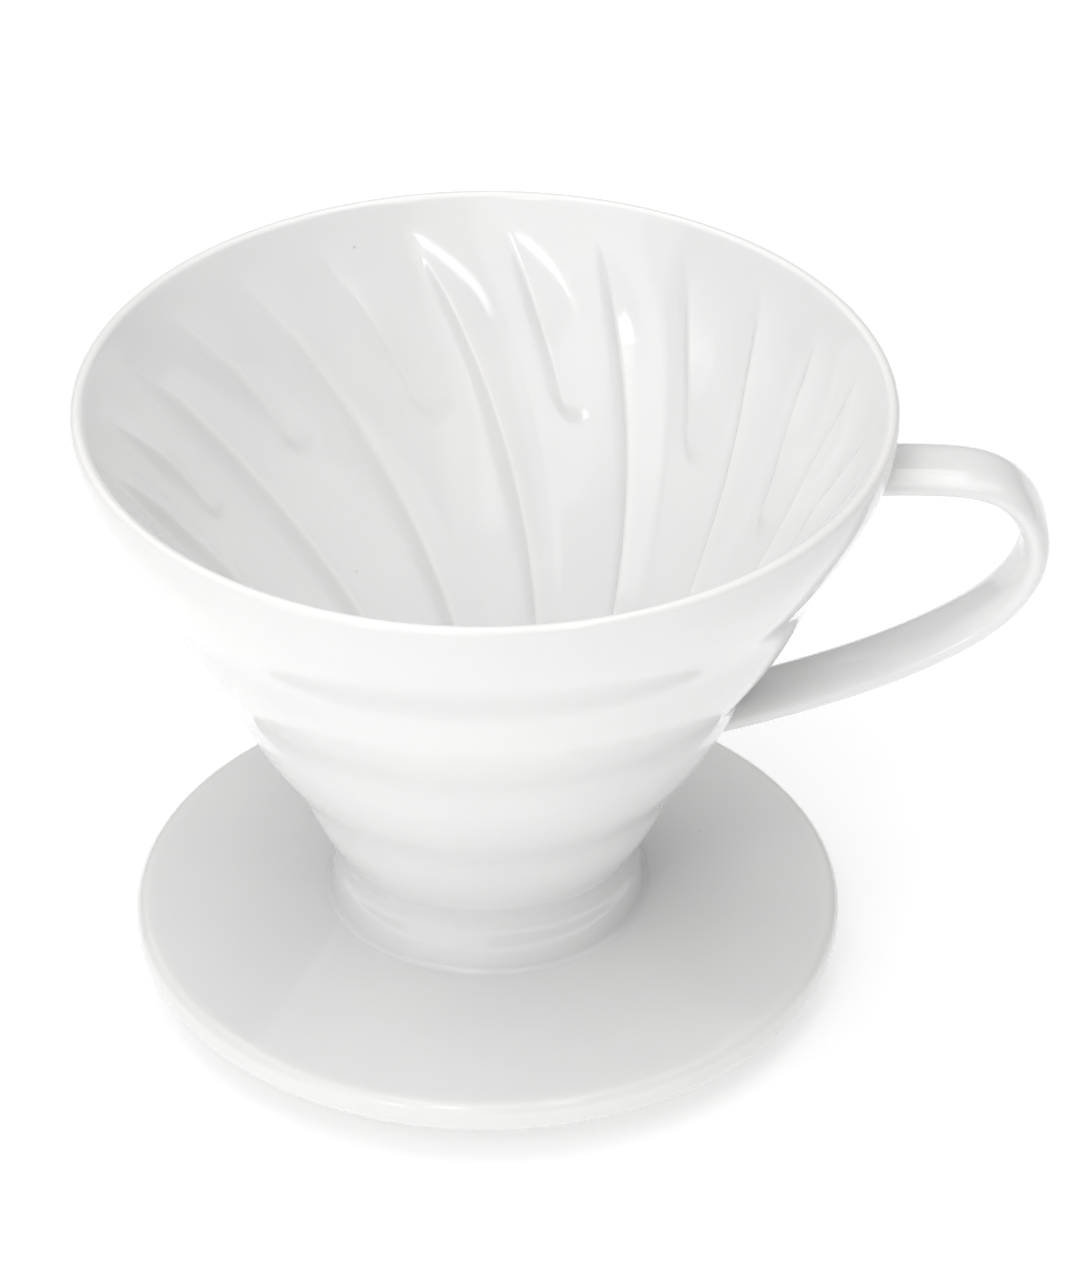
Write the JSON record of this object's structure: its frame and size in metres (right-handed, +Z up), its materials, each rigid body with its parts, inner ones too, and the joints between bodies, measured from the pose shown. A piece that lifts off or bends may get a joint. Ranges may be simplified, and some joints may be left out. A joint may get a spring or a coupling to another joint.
{
  "type": "pour over dripper",
  "caption": "Conical porcelain filter cup with spiral ribs inside, a ripple-walled flare, a round base plate and a strap handle, for brewing coffee over a cup.",
  "frame": {"origin": "on the surface that the dripper stands on, under the middle of its bounding box", "axes": "+Z up along the cone's axis, +X towards the handle, so the cone's axis is 11.35 mm to the -X side of the origin"},
  "size_m": [0.1428, 0.12, 0.1],
  "materials": {
    "glazed_porcelain": "glossy clear glaze over white porcelain",
    "unglazed_porcelain": "bare fired porcelain, matt and slightly rough"
  },
  "bodies": {
    "root": {"cone_body": "glazed_porcelain", "base_plate": "glazed_porcelain", "locating_collar": "unglazed_porcelain", "strap_handle": "glazed_porcelain", "neck_slip_joint": "glazed_porcelain", "upper_handle_slip_joint": "glazed_porcelain", "lower_handle_slip_joint": "glazed_porcelain"}
  },
  "joints": []
}
